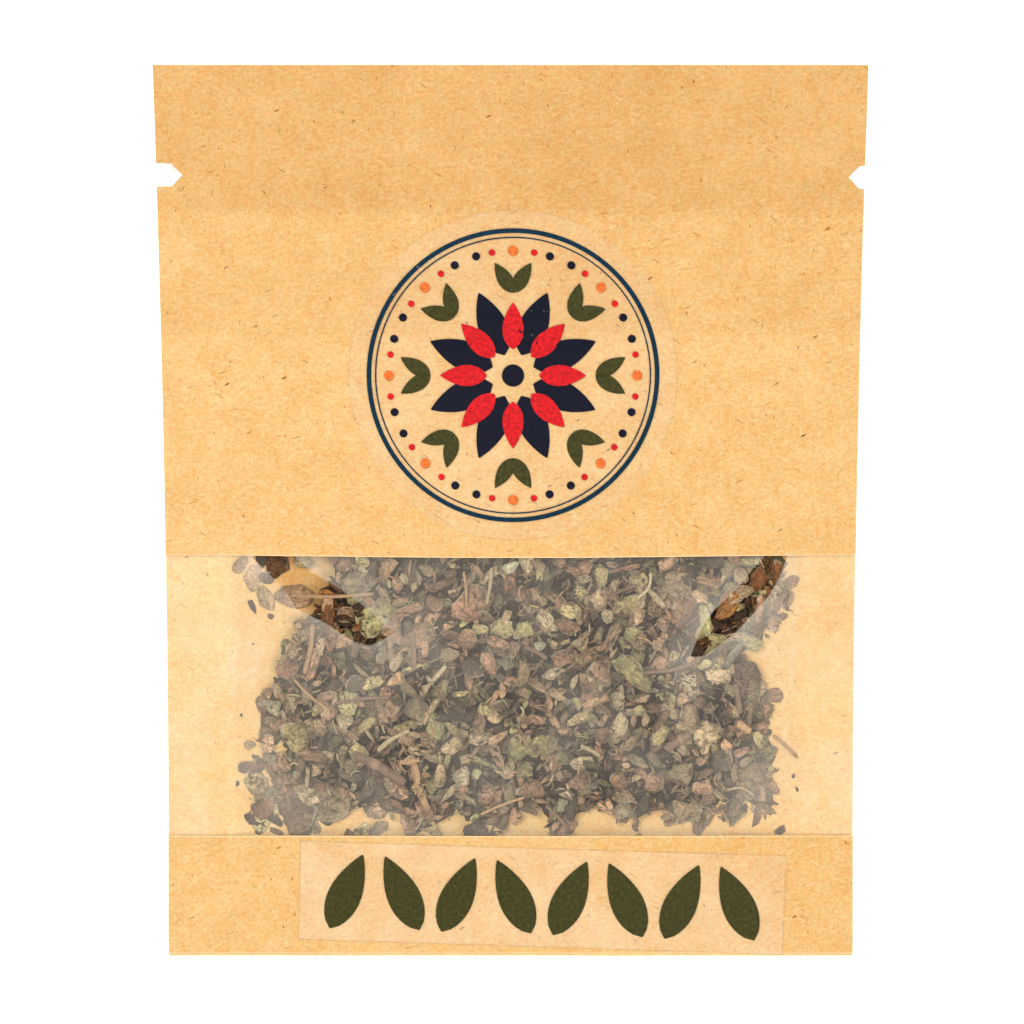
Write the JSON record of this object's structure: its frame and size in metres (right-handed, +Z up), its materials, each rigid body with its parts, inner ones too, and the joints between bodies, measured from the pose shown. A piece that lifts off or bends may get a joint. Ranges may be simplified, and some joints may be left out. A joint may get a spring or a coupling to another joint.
{
  "type": "dried marjoram kraft window packet",
  "caption": "Flat kraft-paper sachet with a clear window, a press-to-close strip and tear notches, filled with dried marjoram flakes and lying on its back.",
  "frame": {"origin": "centre of the footprint, on the surface that the packet lies on", "axes": "+X across the packet, +Y along its height from the bottom seal to the tear notches and the press-to-close strip, +Z up out of the front with the window"},
  "size_m": [0.07, 0.09, 0.0039],
  "materials": {
    "kraft_paper": "matt tan kraft laminate with fine fibres and dark specks",
    "clear_film": "clear glossy film with a slight haze",
    "sticker_film": "clear satin sticker, printed",
    "zip_plastic": "milky polyethylene",
    "dried_leaf": "matt dried leaf, grey-green to brown",
    "dried_stem": "matt dried stem, tan to brown"
  },
  "bodies": {
    "root": {"back_panel": "kraft_paper", "front_film": "clear_film", "front_kraft_upper": "kraft_paper", "front_kraft_lower": "kraft_paper", "round_sticker": "sticker_film", "name_sticker": "sticker_film", "zip_groove_strip": "zip_plastic", "zip_rib_strip": "zip_plastic", "marjoram_heap": "dried_leaf", "twig_01": "dried_stem", "twig_02": "dried_stem", "twig_03": "dried_stem", "twig_04": "dried_stem", "twig_05": "dried_stem", "twig_06": "dried_stem", "twig_07": "dried_stem", "twig_08": "dried_stem", "twig_09": "dried_stem", "twig_10": "dried_stem", "twig_11": "dried_stem", "twig_12": "dried_stem", "loose_flake_1": "dried_leaf", "loose_flake_2": "dried_leaf"}
  },
  "joints": []
}
